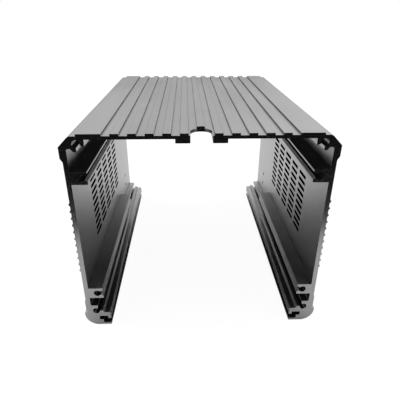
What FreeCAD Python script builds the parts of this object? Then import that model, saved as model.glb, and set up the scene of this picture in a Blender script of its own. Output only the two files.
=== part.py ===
import FreeCAD, Part
import math
import os
import re

import Sketcher

# Extruded aluminium enclosure: one section, open at both ends and at the bottom, with machined
# vents, a notch, small holes and a milled cutback.
# X is across the section, Y runs along the extrusion from front to back, Z is up.
# The origin is the middle of the footprint, on the surface that the feet stand on.

DRIVING_SIZES = [
    ("width", 165.0, "over the corner tips"),
    ("length", 216.0, "length that the extrusion is sawn to"),
    ("height", 142.5, "from the soles to the tops of the ribs"),
    ("plate_thick", 2.0, "top plate between the ribs"),
    ("rib_height", 1.3, "ribs and lands above the plate"),
    ("rib_width", 5.0, "one rib"),
    ("rib_pitch", 10.0, "from rib to rib"),
    ("rib_clearance", 2.5, "least gap from the last rib to the land"),
    ("rib_round", 0.35, "eased edges of ribs and lands"),
    ("land_width", 14.3, "broad land over each corner"),
    ("land_inset", 10.7, "from the side to the land"),
    ("wall_inset", 1.4, "wall face behind the corner tips"),
    ("wall_thick", 3.0, "side walls"),
    ("tip_drop", 7.7, "from the rib tops to the corner tip"),
    ("strip_height", 7.0, "upright strip below the corner tip"),
    ("strip_slope", 2.2, "slope from the strip back to the wall"),
    ("corner_round", 3.0, "between the plate and the corner slope"),
    ("bore_dia", 4.7, "screw bores for the end plates"),
    ("boss_wall", 2.5, "material around a screw bore"),
    ("bore_inset", 10.3, "from the side to the upper bores"),
    ("corner_bore_drop", 5.8, "from the rib tops to the corner bore"),
    ("corner_mouth_drop", 1.8, "inner lobe of the corner boss below its bore"),
    ("lobe_width", 1.9, "flat under the outer lobe of the corner boss"),
    ("lobe_slope", 1.6, "sloped side of that lobe"),
    ("pocket_drop", 8.7, "from the rib tops to the pocket behind the corner boss"),
    ("pocket_round", 1.1, "roof of that pocket, next to the wall"),
    ("shelf_drop", 23.0, "from the rib tops to the upper shelf"),
    ("shelf_thick", 8.3, "shelf with a screw bore"),
    ("shelf_reach", 10.0, "shelf inwards from the wall"),
    ("shelf_bore_drop", 4.15, "from the shelf top to its bore"),
    ("lip_thick", 1.35, "lip over the mouth of a shelf bore"),
    ("mouth_drop", 2.1, "lower side of that mouth below the bore"),
    ("lip_round", 0.6, "lips at the shelf ends"),
    ("edge_round", 0.4, "other eased edges"),
    ("rail_gap", 13.0, "between the two rails under the plate"),
    ("rail_width", 8.8, "one rail under the plate"),
    ("rail_drop", 2.6, "rail below the plate"),
    ("foot_width", 17.6, "foot inwards from below the corner tip"),
    ("foot_proud", 0.5, "outer edge of the foot beyond the corner tip"),
    ("foot_edge", 11.3, "height of the outer edge of the foot"),
    ("foot_round", 9.6, "outer bottom edge"),
    ("cover_lip", 1.8, "lip below the cover groove"),
    ("groove_mouth", 2.9, "height of the groove at its mouth"),
    ("groove_depth", 5.4, "depth of the groove at its mouth"),
    ("hook_gap", 3.0, "height of the hooked part of the groove"),
    ("hook_start", 2.1, "thickness of the tooth over the groove mouth"),
    ("hook_end", 8.0, "depth of the hooked part"),
    ("tooth_drop", 2.2, "tooth below the roof of the hooked part"),
    ("platform_thick", 3.5, "web over the hooked part"),
    ("ridge_rise", 1.65, "ridge above the platform"),
    ("ridge_width", 2.4, "flat top of the ridge"),
    ("ridge_slope", 1.2, "sloped inner side of the ridge"),
    ("ridge_reach", 7.6, "outer side of the ridge from the foot end"),
    ("low_bore_inset", 7.85, "from the side to the lowest bore"),
    ("low_bore_rise", 1.5, "lowest bore above the platform"),
    ("guide_reach", 5.1, "floor of the guide slot inwards from the wall"),
    ("guide_undercut", 0.4, "end of that floor, leaning back"),
    ("guide_height", 6.85, "guide slot between its floor and the foot shelf"),
    ("guide_round", 1.2, "outer corner of the guide slot"),
    ("band_proud", 0.6, "smooth band low on the outer face"),
    ("band_gap", 2.3, "from the foot edge to the band"),
    ("band_height", 7.9, "height of that band"),
    ("band_slope", 1.7, "slope above that band"),
    ("bead_radius", 1.1, "half-round beads on the outer face"),
    ("bead_sink", 0.35, "bead centres behind the outer face"),
    ("bead_pitch", 4.95, "from bead to bead"),
    ("bead_low_gap", 15.7, "from the foot shelf to the first bead"),
    ("bead_high_gap", 12.0, "least distance from the last bead to the upper shelf"),
    ("vent_height", 2.6, "one vent slot"),
    ("vent_length", 16.0, "one vent slot, over its round ends"),
    ("vent_pitch", 21.4, "from slot to slot along the wall"),
    ("vent_front", 50.2, "from the front to the middle of the first slot"),
    ("vent_rear", 70.0, "least distance from the last slot's middle to the back"),
    ("notch_width", 13.0, "notch in the front edge of the plate"),
    ("notch_depth", 15.0, "depth of that notch, to the end of its round"),
    ("cutback_length", 64.0, "foot shelf milled off, from the back"),
    ("hole_dia", 3.4, "small wall holes"),
    ("hole_rear", 30.0, "from the back to the small holes"),
    ("hole_rise", 7.3, "upper small hole above the foot shelf"),
    ("hole_spacing", 11.0, "between the two small holes"),
]

# Places across the right half of the section. The left half is its mirror image.
SIDE = "(width / 2)"
OUTER_FACE = "(width / 2 - wall_inset)"
WALL_MIDDLE = "(width / 2 - wall_inset - wall_thick / 2)"
INNER_FACE = "(width / 2 - wall_inset - wall_thick)"
SLOPE_START = "(width / 2 - tip_drop + rib_height)"
LAND_OUT = "(width / 2 - land_inset)"
LAND_IN = "(width / 2 - land_inset - land_width)"
BORE_X = "(width / 2 - bore_inset)"
LOW_BORE_X = "(width / 2 - low_bore_inset)"
SHELF_END = f"({INNER_FACE} - shelf_reach)"
GUIDE_END = f"({INNER_FACE} - guide_reach)"
FOOT_END = "(width / 2 - foot_width)"
FOOT_SIDE = "(width / 2 + foot_proud)"
RIDGE_END = f"({FOOT_END} + ridge_reach)"

# Heights, from the top down.
PLATE_TOP = "(height - rib_height)"
PLATE_UNDER = "(height - rib_height - plate_thick)"
TIP_HEIGHT = "(height - tip_drop)"
STRIP_FOOT = "(height - tip_drop - strip_height)"
CORNER_BORE_Z = "(height - corner_bore_drop)"
POCKET_ROOF = "(height - pocket_drop)"
UPPER_SHELF = "(height - shelf_drop)"

# Heights, from the soles up.
BOSS_REACH = "(bore_dia / 2 + boss_wall)"
GROOVE_STEP = "(cover_lip + groove_mouth)"
GROOVE_ROOF = f"({GROOVE_STEP} + hook_gap)"
PLATFORM = f"({GROOVE_ROOF} + platform_thick)"
RIDGE_TOP = f"({PLATFORM} + ridge_rise)"
LOW_BORE_Z = f"({PLATFORM} + low_bore_rise)"
GUIDE_FLOOR = f"({LOW_BORE_Z} + {BOSS_REACH})"
FOOT_SHELF = f"({GUIDE_FLOOR} + guide_height + shelf_thick)"
BAND_FOOT = "(foot_edge + band_gap)"
BAND_TOP = f"({BAND_FOOT} + band_height)"
FIRST_BEAD = f"({FOOT_SHELF} + bead_low_gap)"
BEAD_ROOM = f"({UPPER_SHELF} - shelf_thick - bead_high_gap - {FIRST_BEAD})"
BEAD_COUNT = f"(floor({BEAD_ROOM} / bead_pitch) + 1)"

# Ends of the extrusion.
FRONT = "(-length / 2)"
BACK = "(length / 2)"

ALIASES = {alias for alias, value, note in DRIVING_SIZES}
SAME_PLACE = 0.01
FULL_LENGTH_SHARE = 0.9
EVEN_STEP = -1.0  # A step of a pattern that is as long as its offset.

doc = FreeCAD.newDocument("Enclosure")
sheet = doc.addObject("Spreadsheet::Sheet", "Sizes")
for row, (alias, value, note) in enumerate(DRIVING_SIZES, start=1):
    sheet.set(f"A{row}", note)
    sheet.set(f"B{row}", str(value))
    sheet.setAlias(f"B{row}", alias)
doc.recompute()

body = doc.addObject("PartDesign::Body", "Enclosure_Body")
body.Label = "enclosure_extrusion"
body.Placement = FreeCAD.Placement()


def formula(text):
    """The expression with every size name pointing at its cell of the sheet."""
    def point_at_cell(word):
        return f"Sizes.{word.group()}" if word.group() in ALIASES else word.group()
    return re.sub(r"[a-z_]+", point_at_cell, text)


def number(text):
    """Present value of an expression."""
    return float(sheet.evalExpression(formula(text)))


def point(place):
    """The place that two expressions give, as a point of a sketch."""
    return FreeCAD.Vector(number(place[0]), number(place[1]), 0)


def origin_part(role):
    """A plane or an axis of the body's own origin."""
    return next(item for item in body.Origin.OriginFeatures if item.Role == role)


def settle(feature):
    """Recompute, and stop if the newest feature failed."""
    doc.recompute()
    if {"Invalid", "Error"} & set(feature.State) or feature.Shape.isNull():
        raise RuntimeError(f"{feature.Name} failed")
    return feature


def new_sketch(name, plane):
    sketch = body.newObject("Sketcher::SketchObject", name)
    sketch.AttachmentSupport = [(origin_part(plane), "")]
    sketch.MapMode = "FlatFace"
    return sketch


def pin_point(sketch, geometry, end, place):
    """Fix one point of the sketch at the place that two expressions give."""
    for kind, text in zip(("DistanceX", "DistanceY"), place):
        constraint = Sketcher.Constraint(kind, -1, 1, geometry, end, number(text))
        index = sketch.addConstraint(constraint)
        sketch.setExpression(f"Constraints[{index}]", formula(text))


def pin_radius(sketch, geometry, radius):
    index = sketch.addConstraint(Sketcher.Constraint("Radius", geometry, number(radius)))
    sketch.setExpression(f"Constraints[{index}]", formula(radius))


def add_outline(sketch, corners):
    """Closed outline of straight edges through the corners."""
    following = corners[1:] + corners[:1]
    edges = [
        sketch.addGeometry(Part.LineSegment(point(here), point(there)))
        for here, there in zip(corners, following)
    ]
    for edge, next_edge, corner in zip(edges, edges[1:] + edges[:1], following):
        sketch.addConstraint(Sketcher.Constraint("Coincident", edge, 2, next_edge, 1))
        pin_point(sketch, next_edge, 1, corner)


def add_circle(sketch, centre, radius):
    circle = Part.Circle(point(centre), FreeCAD.Vector(0, 0, 1), number(radius))
    geometry = sketch.addGeometry(circle)
    pin_radius(sketch, geometry, radius)
    pin_point(sketch, geometry, 3, centre)


def add_slot(sketch, start, finish, radius):
    """Slot with round ends about two centres."""
    first, last = point(start), point(finish)
    along = last - first
    turn = math.atan2(along.y, along.x)
    quarter = math.pi / 2
    aside = FreeCAD.Vector(-along.y, along.x, 0).normalize() * number(radius)
    up = FreeCAD.Vector(0, 0, 1)
    far_circle = Part.Circle(last, up, number(radius))
    near_circle = Part.Circle(first, up, number(radius))
    far_end = sketch.addGeometry(Part.ArcOfCircle(far_circle, turn - quarter, turn + quarter))
    near_end = sketch.addGeometry(Part.ArcOfCircle(near_circle, turn + quarter, turn + 3 * quarter))
    back_side = sketch.addGeometry(Part.LineSegment(last + aside, first + aside))
    out_side = sketch.addGeometry(Part.LineSegment(first - aside, last - aside))
    ring = (far_end, back_side, near_end, out_side)
    for piece, next_piece in zip(ring, ring[1:] + ring[:1]):
        sketch.addConstraint(Sketcher.Constraint("Tangent", piece, 2, next_piece, 1))
    sketch.addConstraint(Sketcher.Constraint("Equal", far_end, near_end))
    pin_radius(sketch, far_end, radius)
    pin_point(sketch, far_end, 3, finish)
    pin_point(sketch, near_end, 3, start)


def extrude(name, sketch):
    """Carry a section over the whole length, half to the front and half to the back."""
    feature = body.newObject("PartDesign::Pad", name)
    feature.Profile = sketch
    feature.SideType = "Symmetric"
    feature.setExpression("Length", formula("length"))
    return settle(feature)


def cut(name, sketch, depth, upwards=False):
    """Remove what the sketch sweeps to both sides, or upwards only, over the given depth."""
    volume = body.Shape.Volume
    feature = body.newObject("PartDesign::Pocket", name)
    feature.Profile = sketch
    if upwards:
        feature.Reversed = True
    else:
        feature.SideType = "Symmetric"
    feature.setExpression("Length", formula(depth))
    settle(feature)
    if body.Shape.Volume >= volume:
        raise RuntimeError(f"{name} removed nothing")
    return feature


def new_row(name, feature, axis, pitch, count):
    """Copies of one feature along an axis."""
    pattern = body.newObject("PartDesign::LinearPattern", name)
    pattern.Originals = [feature]
    pattern.Direction = (origin_part(axis), [""])
    pattern.Mode = "Spacing"
    pattern.setExpression("Offset", formula(pitch))
    pattern.setExpression("Occurrences", formula(count))
    body.Tip = pattern
    return pattern


def repeat(name, feature, axis, pitch, count):
    return settle(new_row(name, feature, axis, pitch, count))


def repeat_in_grid(name, feature, axis, pitch, count, axis_2, pitch_2, count_2):
    pattern = new_row(name, feature, axis, pitch, count)
    pattern.Direction2 = (origin_part(axis_2), [""])
    pattern.Mode2 = "Spacing"
    pattern.Spacings2 = [EVEN_STEP]
    pattern.setExpression("Offset2", formula(pitch_2))
    pattern.setExpression("Occurrences2", formula(count_2))
    return settle(pattern)


def lengthwise_edges(shape):
    """Names and middles of the edges that run from end to end."""
    for index, edge in enumerate(shape.Edges, start=1):
        if edge.BoundBox.YLength > FULL_LENGTH_SHARE * number("length"):
            yield f"Edge{index}", edge.BoundBox.Center


def round_edges(name, radius, names):
    base = body.Tip
    feature = body.newObject("PartDesign::Fillet", name)
    feature.Base = (base, names)
    feature.setExpression("Radius", formula(radius))
    return settle(feature)


def round_places(name, radius, places):
    """Round the lengthwise edges that stand at the given places of the section."""
    targets = [point(place) for place in places]
    names = [
        edge_name
        for edge_name, middle in lengthwise_edges(body.Tip.Shape)
        if any(math.hypot(middle.x - spot.x, middle.z - spot.y) < SAME_PLACE for spot in targets)
    ]
    if len(names) != len(targets):
        raise RuntimeError(f"{name}: {len(names)} of {len(targets)} edges found")
    return round_edges(name, radius, names)


def add_shell():
    """Half of the top plate with its land, the sloped corner with its screw boss, and the wall."""
    boss_foot = f"({CORNER_BORE_Z} - {BOSS_REACH})"
    boss_end = f"({BORE_X} - {BOSS_REACH})"
    lobe_end = f"({BORE_X} + lobe_width)"
    pocket_end = f"({lobe_end} + lobe_slope)"
    inner_lobe = f"({CORNER_BORE_Z} - corner_mouth_drop)"
    section = new_sketch("Shell_Section", "XZ_Plane")
    add_outline(section, [
        ("0", PLATE_TOP),
        (LAND_IN, PLATE_TOP),
        (LAND_IN, "height"),
        (LAND_OUT, "height"),
        (LAND_OUT, PLATE_TOP),
        (SLOPE_START, PLATE_TOP),
        (SIDE, TIP_HEIGHT),
        (SIDE, STRIP_FOOT),
        (OUTER_FACE, f"{STRIP_FOOT} - strip_slope"),
        (OUTER_FACE, "foot_edge"),
        (INNER_FACE, "foot_edge"),
        (INNER_FACE, POCKET_ROOF),
        (pocket_end, POCKET_ROOF),
        (lobe_end, boss_foot),
        (BORE_X, boss_foot),
        (BORE_X, CORNER_BORE_Z),
        (boss_end, inner_lobe),
        (boss_end, PLATE_UNDER),
        ("0", PLATE_UNDER),
    ])
    extrude("Shell", section)
    round_places("Corner_Round", "corner_round", [(SLOPE_START, PLATE_TOP)])
    round_places("Pocket_Round", "pocket_round", [(INNER_FACE, POCKET_ROOF)])
    round_places("Boss_Round", "edge_round", [
        (SIDE, TIP_HEIGHT),
        (SIDE, STRIP_FOOT),
        (lobe_end, boss_foot),
        (BORE_X, boss_foot),
        (boss_end, inner_lobe),
    ])


def add_ribs():
    """Ribs on the plate, from the middle one outwards, with the edges of ribs and land eased."""
    count = f"floor(({LAND_IN} - rib_clearance - rib_width / 2) / rib_pitch) + 1"
    plate_middle = f"({PLATE_UNDER} + plate_thick / 2)"
    section = new_sketch("Rib_Section", "XZ_Plane")
    add_outline(section, [
        ("-rib_width / 2", plate_middle),
        ("rib_width / 2", plate_middle),
        ("rib_width / 2", "height"),
        ("-rib_width / 2", "height"),
    ])
    repeat("Ribs", extrude("Middle_Rib", section), "X_Axis", "rib_pitch", count)
    top_edges = [
        edge_name
        for edge_name, middle in lengthwise_edges(body.Tip.Shape)
        if abs(middle.z - number("height")) < SAME_PLACE
    ]
    round_edges("Rib_Edges", "rib_round", top_edges)


def add_shelf(name, top):
    """Shelf on the inner face of the wall, with a bore mouth that opens inwards."""
    bore_z = f"({top} - shelf_bore_drop)"
    underside = f"({top} - shelf_thick)"
    lower_lip = f"({bore_z} - mouth_drop)"
    upper_lip = f"({top} - lip_thick)"
    section = new_sketch(f"{name}_Section", "XZ_Plane")
    add_outline(section, [
        (WALL_MIDDLE, top),
        (WALL_MIDDLE, underside),
        (SHELF_END, underside),
        (SHELF_END, lower_lip),
        (BORE_X, bore_z),
        (SHELF_END, upper_lip),
        (SHELF_END, top),
    ])
    extrude(name, section)
    lips = [(SHELF_END, edge) for edge in (underside, lower_lip, upper_lip, top)]
    round_places(f"{name}_Lips", "lip_round", lips)


def add_foot():
    """Foot with the hooked groove of a bottom cover, a ridge and the floor of the guide slot."""
    tooth_foot = f"({GROOVE_ROOF} - tooth_drop)"
    tooth_back = f"({FOOT_END} + hook_start)"
    hook_back = f"({FOOT_END} + hook_end)"
    groove_back = f"({FOOT_END} + groove_depth)"
    ridge_start = f"({RIDGE_END} - ridge_width)"
    section = new_sketch("Foot_Section", "XZ_Plane")
    add_outline(section, [
        (FOOT_END, "0"),
        (FOOT_SIDE, "0"),
        (FOOT_SIDE, "foot_edge"),
        (OUTER_FACE, "foot_edge"),
        (OUTER_FACE, GUIDE_FLOOR),
        (GUIDE_END, GUIDE_FLOOR),
        (f"{GUIDE_END} + guide_undercut", f"{LOW_BORE_Z} + bore_dia / 2"),
        (LOW_BORE_X, LOW_BORE_Z),
        (RIDGE_END, LOW_BORE_Z),
        (RIDGE_END, RIDGE_TOP),
        (ridge_start, RIDGE_TOP),
        (f"{ridge_start} - ridge_slope", PLATFORM),
        (FOOT_END, PLATFORM),
        (FOOT_END, tooth_foot),
        (tooth_back, tooth_foot),
        (tooth_back, GROOVE_ROOF),
        (hook_back, GROOVE_ROOF),
        (hook_back, GROOVE_STEP),
        (groove_back, GROOVE_STEP),
        (groove_back, "cover_lip"),
        (FOOT_END, "cover_lip"),
    ])
    extrude("Foot", section)
    round_places("Foot_Round", "min(foot_round; foot_edge - 2 * edge_round)", [(FOOT_SIDE, "0")])
    round_places("Guide_Round", "guide_round", [(INNER_FACE, GUIDE_FLOOR)])
    round_places("Foot_Edges", "edge_round", [
        (FOOT_SIDE, "foot_edge"),
        (FOOT_END, "0"),
        (FOOT_END, PLATFORM),
        (GUIDE_END, GUIDE_FLOOR),
        (ridge_start, RIDGE_TOP),
    ])


def add_band():
    """Smooth raised band along the outer face, just above the foot."""
    section = new_sketch("Band_Section", "XZ_Plane")
    add_outline(section, [
        (WALL_MIDDLE, BAND_FOOT),
        (f"{OUTER_FACE} + band_proud", BAND_FOOT),
        (f"{OUTER_FACE} + band_proud", BAND_TOP),
        (OUTER_FACE, f"{BAND_TOP} + band_slope"),
        (WALL_MIDDLE, f"{BAND_TOP} + band_slope"),
    ])
    extrude("Band", section)


def add_rail():
    """Rail under the plate, beside the middle channel."""
    near, far = "(rail_gap / 2)", "(rail_gap / 2 + rail_width)"
    underside = f"({PLATE_UNDER} - rail_drop)"
    plate_middle = f"({PLATE_UNDER} + plate_thick / 2)"
    section = new_sketch("Rail_Section", "XZ_Plane")
    add_outline(section, [
        (near, plate_middle),
        (far, plate_middle),
        (far, underside),
        (near, underside),
    ])
    extrude("Rail", section)
    round_places("Rail_Edges", "edge_round", [(near, underside), (far, underside)])


def add_bores():
    """Screw bores from end to end: corner, upper shelf, foot shelf and foot."""
    section = new_sketch("Bore_Section", "XZ_Plane")
    for centre in (
        (BORE_X, CORNER_BORE_Z),
        (BORE_X, f"{UPPER_SHELF} - shelf_bore_drop"),
        (BORE_X, f"{FOOT_SHELF} - shelf_bore_drop"),
        (LOW_BORE_X, LOW_BORE_Z),
    ):
        add_circle(section, centre, "bore_dia / 2")
    cut("Bores", section, "length")


def add_beads():
    """Half-round beads up the outer face, above the foot shelf."""
    section = new_sketch("Bead_Section", "XZ_Plane")
    add_circle(section, (f"{OUTER_FACE} - bead_sink", FIRST_BEAD), "bead_radius")
    repeat("Beads", extrude("Bead", section), "Z_Axis", "bead_pitch", BEAD_COUNT)


def add_vents():
    """Vent slots through the wall: a row between each two beads."""
    middle = f"({FRONT} + vent_front)"
    reach = "(vent_length / 2 - vent_height / 2)"
    row_height = f"({FIRST_BEAD} + bead_pitch / 2)"
    columns = "floor((length - vent_front - vent_rear) / vent_pitch) + 1"
    outline = new_sketch("Vent_Outline", "YZ_Plane")
    add_slot(
        outline,
        (f"{middle} - {reach}", row_height),
        (f"{middle} + {reach}", row_height),
        "vent_height / 2",
    )
    repeat_in_grid(
        "Vents", cut("Vent", outline, "width"),
        "Z_Axis", "bead_pitch", f"{BEAD_COUNT} - 1",
        "Y_Axis", "vent_pitch", columns,
    )


def add_notch():
    """Notch with a round end in the front edge of the plate, over the middle channel."""
    round_centre = f"({FRONT} + notch_depth - notch_width / 2)"
    outline = new_sketch("Notch_Outline", "XY_Plane")
    add_slot(outline, ("0", FRONT), ("0", round_centre), "notch_width / 2")
    cut("Notch", outline, "height", upwards=True)


def add_wall_holes():
    """Two small holes through the wall, near the back."""
    hole_y = f"({BACK} - hole_rear)"
    upper_z = f"({FOOT_SHELF} + hole_rise)"
    outline = new_sketch("Hole_Outline", "YZ_Plane")
    add_circle(outline, (hole_y, upper_z), "hole_dia / 2")
    add_circle(outline, (hole_y, f"{upper_z} - hole_spacing"), "hole_dia / 2")
    cut("Wall_Holes", outline, "width")


def mill_cutback():
    """Foot shelf milled off flush with the wall, over the last stretch at the back."""
    start = f"({BACK} - cutback_length)"
    top = f"({FOOT_SHELF} + guide_height / 2)"
    underside = f"({FOOT_SHELF} - shelf_thick - guide_height / 2)"
    outline = new_sketch("Cutback_Outline", "YZ_Plane")
    add_outline(outline, [(start, underside), (BACK, underside), (BACK, top), (start, top)])
    cut("Cutback", outline, f"2 * {INNER_FACE}")


def mirror_half():
    """Join the right half to its mirror image."""
    whole = body.newObject("PartDesign::Mirrored", "Both_Halves")
    whole.TransformMode = "Whole shape"
    whole.MirrorPlane = (origin_part("YZ_Plane"), [""])
    body.Tip = whole
    settle(whole)


def write_part():
    for item in doc.Objects:
        if {"Invalid", "Error"} & set(item.State):
            raise RuntimeError(f"{item.Name} failed")
    shape = body.Shape
    if shape.isNull() or not shape.isValid() or len(shape.Solids) != 1:
        raise RuntimeError(f"{body.Label} isn't one valid solid")
    os.makedirs("parts", exist_ok=True)
    shape.exportStep(f"parts/{body.Label}.step")
    box = shape.BoundBox
    print(f"{body.Label}: {box.XLength:.2f} x {box.YLength:.2f} x {box.ZLength:.2f} mm")
    print(f"{len(shape.Faces)} faces, {shape.Volume / 1000:.1f} cubic centimetres")


add_shell()
add_ribs()
add_shelf("Upper_Shelf", UPPER_SHELF)
add_shelf("Foot_Shelf", FOOT_SHELF)
add_foot()
add_band()
add_rail()
add_bores()
add_beads()
add_vents()
add_notch()
add_wall_holes()
mill_cutback()
mirror_half()
write_part()
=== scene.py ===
import math

import bmesh
import bpy
from mathutils import Matrix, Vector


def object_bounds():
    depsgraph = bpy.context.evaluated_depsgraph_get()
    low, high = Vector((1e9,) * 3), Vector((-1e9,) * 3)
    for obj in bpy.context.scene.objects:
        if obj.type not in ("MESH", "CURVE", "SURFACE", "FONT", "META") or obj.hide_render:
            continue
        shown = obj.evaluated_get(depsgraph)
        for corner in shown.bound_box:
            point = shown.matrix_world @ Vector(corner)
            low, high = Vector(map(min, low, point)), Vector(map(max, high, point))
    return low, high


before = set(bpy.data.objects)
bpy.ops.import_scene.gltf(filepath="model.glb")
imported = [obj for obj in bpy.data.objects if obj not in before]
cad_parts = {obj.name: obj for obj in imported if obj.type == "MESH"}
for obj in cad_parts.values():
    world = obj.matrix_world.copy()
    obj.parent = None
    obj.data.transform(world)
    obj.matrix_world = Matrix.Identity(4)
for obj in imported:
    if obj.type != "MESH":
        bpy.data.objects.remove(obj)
cad_low, cad_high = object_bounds()

MM = 0.001
NODE = "enclosure_extrusion"
SLOT = "anodised_aluminium"

# The camera stands in front of the open end, higher than the top plate, and looks down into the U.
IMAGE_SIDE = 400
FOCAL_PIXELS = 378.98
CAMERA_PLACE = (-8.92 * MM, -318.18 * MM, 204.52 * MM)
CAMERA_TURN = math.radians(-2.1934)
CAMERA_DIP = math.radians(26.3966)
CAMERA_ROLL = math.radians(0.2495)
CAMERA_NEAREST = 10 * MM

# The table lights the metal from below. It ends in front of the part, at a dim apron.
TABLE_REACH = 3.0
TABLE_FRONT = cad_low.y - 127 * MM
TABLE_WHITE = 0.9
APRON_GLOW = 0.1

# A painted shadow on the table: a card, grey between the front of the feet and as white as the table at its
# back edge, stands for the part's own shadow there.
PAINTED_SHADOW_REACH = 62 * MM
PAINTED_SHADOW_BACK = cad_low.y + 140 * MM
PAINTED_SHADOW_LEVEL = cad_low.z + 0.025 * MM
PAINTED_SHADOW_SHADE = 0.3

# A black flag stands behind the part. It darkens what the far end of the top plate reflects.
FLAG_REACH = 200 * MM
FLAG_PLACE = cad_high.y + 90 * MM
FLAG_TOP = cad_high.z + 26 * MM

# The floor just covers the soles, and the surround is a ball round everything.
FLOOR_REACH = 4.0
FLOOR_LEVEL = cad_low.z + 0.05 * MM
FLOOR_SHADE = 0.06
FLOOR_GLOW = 0.95
SURROUND_REACH = 6.0
SURROUND_DIVISIONS = 3
SURROUND_GLOW = 1.0

# Each soft light: its azimuth from straight behind the part, its elevation, its sharpness and its strength.
SKY = {
    "above": (0, 90, 8.0, 0.5),
    "above_left": (-90, 45, 10.0, 4.7),
    "above_right": (90, 45, 10.0, 3.9),
    "above_behind": (0, 50, 12.0, 2.5),
    "behind_high": (0, 30, 25.0, 0.15),
    "behind_left": (-25, 18, 30.0, 0.94),
    "behind_right": (25, 18, 30.0, 1.23),
    "front_high": (180, 40, 15.0, 0.4),
}
WHITE = (1.0, 1.0, 1.0, 1.0)

# The tone curve is straight, but for a toe: one low point that makes the darks deeper.
TOE = (0.0306, 0.0063)
CURVE_OF_ALL_COLOURS = 3

# The finish: how much light the drawn metal gives back, how rough its drawn and sawn faces are, and how
# glossy the milled faces in the vents, which carry painted shade: dark and not metallic.
METAL_SHADE = (0.29, 0.34)
DRAWN_ROUGHNESS = (0.38, 0.44)
SAWN_ROUGHNESS = 0.24
VENT_PAINTED_SHADE_GLOSS = 0.0

# The textures: how long a grain is along x, y and z, and how much finer detail it has.
DIE_LINES = {"pitch": (0.45 * MM, 150 * MM, 0.45 * MM), "detail": 3.0}
SAW_MARKS = {"pitch": (0.5 * MM, 0.5 * MM, 0.5 * MM), "detail": 3.0}
GRAIN = {"pitch": (0.25 * MM, 0.25 * MM, 0.25 * MM), "detail": 1.0}
CLOUDS = {"pitch": (40 * MM, 80 * MM, 40 * MM), "detail": 2.0}
SAW_RADIUS = 175 * MM

# What the relief and the tone take of each texture. The shade changes while the tone crosses TONE_SPAN, and
# the roughness while the grain and the clouds together cross ROUGHNESS_SPAN.
RELIEF_HEIGHT = 0.02 * MM
RELIEF_STRENGTH = 0.25
GRAIN_IN_RELIEF = 0.4
MARKS_IN_TONE = 0.4
CLOUDS_IN_TONE = 0.6
TONE_SPAN = (0.3, 0.7)
ROUGHNESS_SPAN = (0.7, 1.3)

# Painted shade: the share of the metal's shade that each kind of darker face keeps, darkened in the colour
# where shade falls or less light reaches. CREVICE_ROOM is a span of how open the space around a point is,
# and across it the shade rises from the crevice's share to the full one.
CREVICE_REACH = 6 * MM
CREVICE_RAYS = 8
CREVICE_ROOM = (0.1, 0.45)
CREVICE_PAINTED_SHADE = 0.6
VENT_PAINTED_SHADE = 0.1
BORE_PAINTED_SHADE = 0.9
RIB_SIDE_PAINTED_SHADE = 0.6
SAWN_PAINTED_SHADE = 0.82

# Where those faces are. SKIN keeps a place clear of the faces beside it, and widens a bore past its face.
# A face looks along an axis if more than FACING of its normal does.
SKIN = 0.05 * MM
FACING = 0.9
WALL_OUTER = cad_high.x - 1.9 * MM
WALL_INNER = WALL_OUTER - 3.0 * MM
VENTS_REACH = cad_high.y - 8 * MM
VENTS_LOW = cad_low.z + 28 * MM
VENTS_HIGH = cad_low.z + 108 * MM
PLATE_TOP = cad_high.z - 1.3 * MM
BORE_RADIUS = 2.35 * MM
BORE_X = cad_high.x - 10.8 * MM
LOW_BORE_X = cad_high.x - 8.35 * MM
BORES = {
    "corner": (BORE_X, cad_high.z - 5.8 * MM),
    "upper_shelf": (BORE_X, cad_high.z - 27.15 * MM),
    "foot_shelf": (BORE_X, cad_low.z + 28.55 * MM),
    "foot": (LOW_BORE_X, cad_low.z + 12.7 * MM),
}


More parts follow.
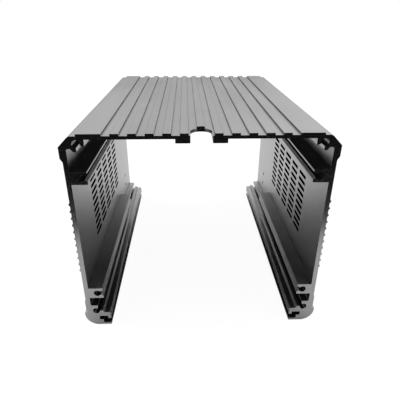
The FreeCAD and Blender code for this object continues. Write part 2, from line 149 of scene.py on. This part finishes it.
class Graph:
    """A node tree with short calls for adding and joining nodes."""

    def __init__(self, tree):
        self.tree = tree

    def set(self, socket, value):
        if isinstance(value, bpy.types.NodeSocket):
            self.tree.links.new(value, socket)
        else:
            socket.default_value = value

    def add(self, kind, inputs=None, **settings):
        node = self.tree.nodes.new(kind)
        for name, value in settings.items():
            setattr(node, name, value)
        for name, value in (inputs or {}).items():
            self.set(node.inputs[name], value)
        return node

    def math(self, operation, *values):
        node = self.add("ShaderNodeMath", operation=operation)
        for socket, value in zip(node.inputs, values):
            self.set(socket, value)
        return node.outputs[0]

    def vector_math(self, operation, first, second):
        """An operation on two vectors that gives a number."""
        inputs = {0: first, 1: second}
        return self.add("ShaderNodeVectorMath", inputs, operation=operation).outputs["Value"]

    def split(self, vector):
        """The parts X, Y and Z of a vector."""
        return self.add("ShaderNodeSeparateXYZ", {"Vector": vector}).outputs

    def join(self, **parts):
        """A vector with the parts that are given, and nought for the others."""
        return self.add("ShaderNodeCombineXYZ", parts).outputs[0]

    def grey(self, shade):
        inputs = {"Red": shade, "Green": shade, "Blue": shade}
        return self.add("ShaderNodeCombineColor", inputs).outputs[0]

    def ramp(self, value, span, results):
        """From one result to the other, while the value crosses the span."""
        inputs = dict(zip(("From Min", "From Max"), span))
        inputs.update(zip(("To Min", "To Max"), results))
        return self.add("ShaderNodeMapRange", {"Value": value, **inputs}).outputs[0]

    def within(self, value, low, high):
        """One between low and high, and nought outside them."""
        return self.math("COMPARE", value, (low + high) / 2, (high - low) / 2)

    def looks_along(self, part_of_normal):
        """One on the faces that look along the axis of this part of the normal, either way."""
        return self.math("GREATER_THAN", self.math("ABSOLUTE", part_of_normal), FACING)

    def mix(self, share, low, high):
        """Low where the share is nought, and high where it is one."""
        return self.add("ShaderNodeMix", {0: share, 2: low, 3: high}).outputs[0]

    def dim(self, shade, mask, factor):
        """The shade, times the factor where the mask is one."""
        return self.math("MULTIPLY", shade, self.mix(mask, 1.0, factor))

    def noise(self, place, pitch, detail):
        """Noise whose grains are pitch = (x, y, z) long."""
        scale = tuple(1 / length for length in pitch)
        scaled = self.add("ShaderNodeMapping", {"Vector": place, "Scale": scale}).outputs[0]
        inputs = {"Vector": scaled, "Scale": 1.0, "Detail": detail}
        return self.add("ShaderNodeTexNoise", inputs).outputs[0]


def new_material(name):
    material = bpy.data.materials.new(name)
    material.use_nodes = True
    graph = Graph(material.node_tree)
    graph.tree.nodes.clear()
    return material, graph


def finish_material(graph, shader):
    graph.add("ShaderNodeOutputMaterial", {"Surface": shader})


def saw_marks(graph, position):
    """Marks of a round saw blade: arcs across the section, one above the other."""
    bow = graph.math("DIVIDE", graph.math("POWER", position["X"], 2.0), 2 * SAW_RADIUS)
    blade = graph.join(Z=graph.math("ADD", position["Z"], bow))
    return graph.noise(blade, **SAW_MARKS)


def vent_painted_shade_mask(graph, position):
    """One inside the vents and small holes, which are all that a wall has between its two faces.

    The wall's ends are left out, and with them the lowest 0.7 mm of the lower hole. Painted shade darkens
    the faces where the mask is one.
    """
    across = graph.math("ABSOLUTE", position["X"])
    inside = graph.within(across, WALL_INNER + SKIN, WALL_OUTER - SKIN)
    inside = graph.math("MULTIPLY", inside, graph.within(position["Y"], -VENTS_REACH, VENTS_REACH))
    return graph.math("MULTIPLY", inside, graph.within(position["Z"], VENTS_LOW, VENTS_HIGH))


def rib_sides(graph, position, facing):
    """One on the upright sides of the ribs and of the lands beside them, which get painted shade."""
    raised = graph.math("GREATER_THAN", position["Z"], PLATE_TOP + SKIN)
    return graph.math("MULTIPLY", graph.looks_along(facing["X"]), raised)


def paint_crevice_shade(graph, shade):
    """The shade, with painted shade that darkens it where the space around a point is narrow."""
    room = graph.add("ShaderNodeAmbientOcclusion", {"Distance": CREVICE_REACH}, samples=CREVICE_RAYS)
    open_share = graph.ramp(room.outputs["AO"], CREVICE_ROOM, (CREVICE_PAINTED_SHADE, 1.0))
    return graph.math("MULTIPLY", shade, open_share)


def paint_bore_shade(graph, shade, position):
    """The shade, with painted shade a little darker inside the bores of both halves, which mirror each
    other.
    """
    section = graph.join(X=graph.math("ABSOLUTE", position["X"]), Z=position["Z"])
    for x, z in BORES.values():
        distance = graph.vector_math("DISTANCE", section, (x, 0.0, z))
        in_bore = graph.math("LESS_THAN", distance, BORE_RADIUS + SKIN)
        shade = graph.dim(shade, in_bore, BORE_PAINTED_SHADE)
    return shade


def anodised_aluminium():
    """Satin anodised metal: die lines along the profile, a soft grain, saw marks on the cut ends, and
    painted shade.
    """
    material, graph = new_material(SLOT)
    place = graph.add("ShaderNodeTexCoord").outputs["Object"]
    position = graph.split(place)
    facing = graph.split(graph.add("ShaderNodeNewGeometry").outputs["True Normal"])
    sawn = graph.looks_along(facing["Y"])
    vent_painted_shade = vent_painted_shade_mask(graph, position)
    marks = graph.mix(sawn, graph.noise(place, **DIE_LINES), saw_marks(graph, position))
    grain = graph.noise(place, **GRAIN)
    clouds = graph.noise(place, **CLOUDS)

    height = graph.math("MULTIPLY_ADD", grain, GRAIN_IN_RELIEF, marks)
    relief = {"Height": height, "Strength": RELIEF_STRENGTH, "Distance": RELIEF_HEIGHT}

    tone = graph.math("MULTIPLY", clouds, CLOUDS_IN_TONE)
    tone = graph.math("MULTIPLY_ADD", marks, MARKS_IN_TONE, tone)
    # Painted shade in crevices.
    shade = paint_crevice_shade(graph, graph.ramp(tone, TONE_SPAN, METAL_SHADE))
    # Painted shade in the vents.
    shade = graph.dim(shade, vent_painted_shade, VENT_PAINTED_SHADE)
    # Painted shade in the bores.
    shade = paint_bore_shade(graph, shade, position)
    # Painted shade on the upright sides of the ribs.
    shade = graph.dim(shade, rib_sides(graph, position, facing), RIB_SIDE_PAINTED_SHADE)
    # Painted shade on the sawn ends, which face less light.
    shade = graph.dim(shade, sawn, SAWN_PAINTED_SHADE)

    drawn_roughness = graph.ramp(graph.math("ADD", grain, clouds), ROUGHNESS_SPAN, DRAWN_ROUGHNESS)
    inputs = {
        "Base Color": graph.grey(shade),
        # Painted shade: the faces in the vents are not metallic and have no gloss, so they stay dark.
        "Metallic": graph.math("SUBTRACT", 1.0, vent_painted_shade),
        "Specular IOR Level": VENT_PAINTED_SHADE_GLOSS,
        "Roughness": graph.mix(sawn, drawn_roughness, SAWN_ROUGHNESS),
        "Normal": graph.add("ShaderNodeBump", relief).outputs[0],
    }
    finish_material(graph, graph.add("ShaderNodeBsdfPrincipled", inputs).outputs[0])
    return material


def matt_paint(name, shade=0.0, glow=0.0):
    """Matt paint from black to white, with a glow of its own."""
    material, graph = new_material(name)
    paint = graph.add("ShaderNodeBsdfDiffuse", {"Color": (shade, shade, shade, 1.0)}).outputs[0]
    light = graph.add("ShaderNodeEmission", {"Strength": glow}).outputs[0]
    finish_material(graph, graph.add("ShaderNodeAddShader", {0: paint, 1: light}).outputs[0])
    return material


def painted_shadow_material():
    """Painted shadow: matt grey at the front, which fades into the white of the table towards the back."""
    material, graph = new_material("painted_shadow_grey")
    position = graph.split(graph.add("ShaderNodeNewGeometry").outputs["Position"])
    shade = graph.ramp(position["Y"], (cad_low.y, PAINTED_SHADOW_BACK), (PAINTED_SHADOW_SHADE, TABLE_WHITE))
    finish_material(graph, graph.add("ShaderNodeBsdfDiffuse", {"Color": graph.grey(shade)}).outputs[0])
    return material


def card_mesh(name, corners):
    mesh = bpy.data.meshes.new(name)
    mesh.from_pydata(corners, [], [(0, 1, 2, 3)])
    return mesh


def level_card(name, reach, front, back, level):
    """A level card that goes as far to the left as to the right."""
    corners = [(-reach, front, level), (reach, front, level), (reach, back, level), (-reach, back, level)]
    return card_mesh(name, corners)


def upright_card(name, reach, place, low, high):
    """A card that stands across the length of the part."""
    corners = [(-reach, place, low), (reach, place, low), (reach, place, high), (-reach, place, high)]
    return card_mesh(name, corners)


def ball_mesh(name, radius):
    ball = bmesh.new()
    bmesh.ops.create_icosphere(ball, subdivisions=SURROUND_DIVISIONS, radius=radius)
    mesh = bpy.data.meshes.new(name)
    ball.to_mesh(mesh)
    ball.free()
    return mesh


def add_stage(mesh, material, for_camera):
    """A stage piece, seen either by the camera alone or by light and reflections alone."""
    mesh.materials.append(material)
    piece = bpy.data.objects.new(mesh.name, mesh)
    bpy.context.scene.collection.objects.link(piece)
    piece.visible_camera = for_camera
    for kind in ("diffuse", "glossy", "transmission", "volume_scatter", "shadow"):
        setattr(piece, f"visible_{kind}", not for_camera)


def add_table():
    table = level_card("table", TABLE_REACH, TABLE_FRONT, TABLE_REACH, cad_low.z)
    add_stage(table, matt_paint("table_white", shade=TABLE_WHITE), for_camera=False)
    # A card with the part's painted shadow on the table, for light and reflections alone.
    painted_shadow = level_card("painted_shadow", PAINTED_SHADOW_REACH, cad_low.y, PAINTED_SHADOW_BACK, PAINTED_SHADOW_LEVEL)
    add_stage(painted_shadow, painted_shadow_material(), for_camera=False)
    apron = level_card("apron", TABLE_REACH, -TABLE_REACH, TABLE_FRONT, cad_low.z)
    add_stage(apron, matt_paint("apron_grey", glow=APRON_GLOW), for_camera=False)


def add_flag():
    flag = upright_card("flag", FLAG_REACH, FLAG_PLACE, cad_high.z, FLAG_TOP)
    add_stage(flag, matt_paint("flag_black"), for_camera=False)


def add_background():
    """The floor and the surround, which give the camera its white."""
    floor = level_card("floor", FLOOR_REACH, -FLOOR_REACH, FLOOR_REACH, FLOOR_LEVEL)
    add_stage(floor, matt_paint("floor_white", FLOOR_SHADE, FLOOR_GLOW), for_camera=True)
    surround = ball_mesh("surround", SURROUND_REACH)
    add_stage(surround, matt_paint("surround_white", glow=SURROUND_GLOW), for_camera=True)


def sky_direction(azimuth, elevation):
    """The direction to a place in the sky, in degrees to the right of straight behind the part, and up."""
    turn = math.radians(azimuth)
    rise = math.radians(elevation)
    return (math.sin(turn) * math.cos(rise), math.cos(turn) * math.cos(rise), math.sin(rise))


def add_sky():
    """Soft round lights that fade into each other, for light and reflections alone."""
    world = bpy.data.worlds.new("soft_sky")
    bpy.context.scene.world = world
    world.use_nodes = True
    world.cycles_visibility.camera = False
    sky = Graph(world.node_tree)
    towards = sky.add("ShaderNodeTexCoord").outputs["Generated"]
    total = 0.0
    for azimuth, elevation, sharpness, strength in SKY.values():
        along = sky.vector_math("DOT_PRODUCT", towards, sky_direction(azimuth, elevation))
        fade = sky.math("MULTIPLY", sky.math("SUBTRACT", along, 1.0), sharpness)
        total = sky.math("MULTIPLY_ADD", sky.math("EXPONENT", fade), strength, total)
    background = world.node_tree.nodes["Background"]
    sky.set(background.inputs["Color"], WHITE)
    sky.set(background.inputs["Strength"], total)


def add_camera():
    data = bpy.data.cameras.new("camera")
    data.lens = FOCAL_PIXELS / IMAGE_SIDE * data.sensor_width
    data.clip_start = CAMERA_NEAREST
    camera = bpy.data.objects.new("camera", data)
    bpy.context.scene.collection.objects.link(camera)
    turn = Matrix.Rotation(CAMERA_TURN, 4, "Z")
    dip = Matrix.Rotation(math.pi / 2 - CAMERA_DIP, 4, "X")
    roll = Matrix.Rotation(CAMERA_ROLL, 4, "Z")
    camera.matrix_world = Matrix.Translation(CAMERA_PLACE) @ turn @ dip @ roll
    bpy.context.scene.camera = camera


def set_tones():
    """Plain display tones, with the photograph's deep blacks."""
    view = bpy.context.scene.view_settings
    view.view_transform = "Standard"
    view.look = "None"
    view.use_curve_mapping = True
    tones = view.curve_mapping.curves[CURVE_OF_ALL_COLOURS]
    tones.points.new(*TOE)
    for point in tones.points:
        point.handle_type = "VECTOR"
    view.curve_mapping.update()


def dress_profile():
    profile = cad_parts[NODE]
    profile.data.materials.clear()
    profile.data.materials.append(anodised_aluminium())


add_camera()
add_sky()
add_table()
add_flag()
add_background()
set_tones()
dress_profile()
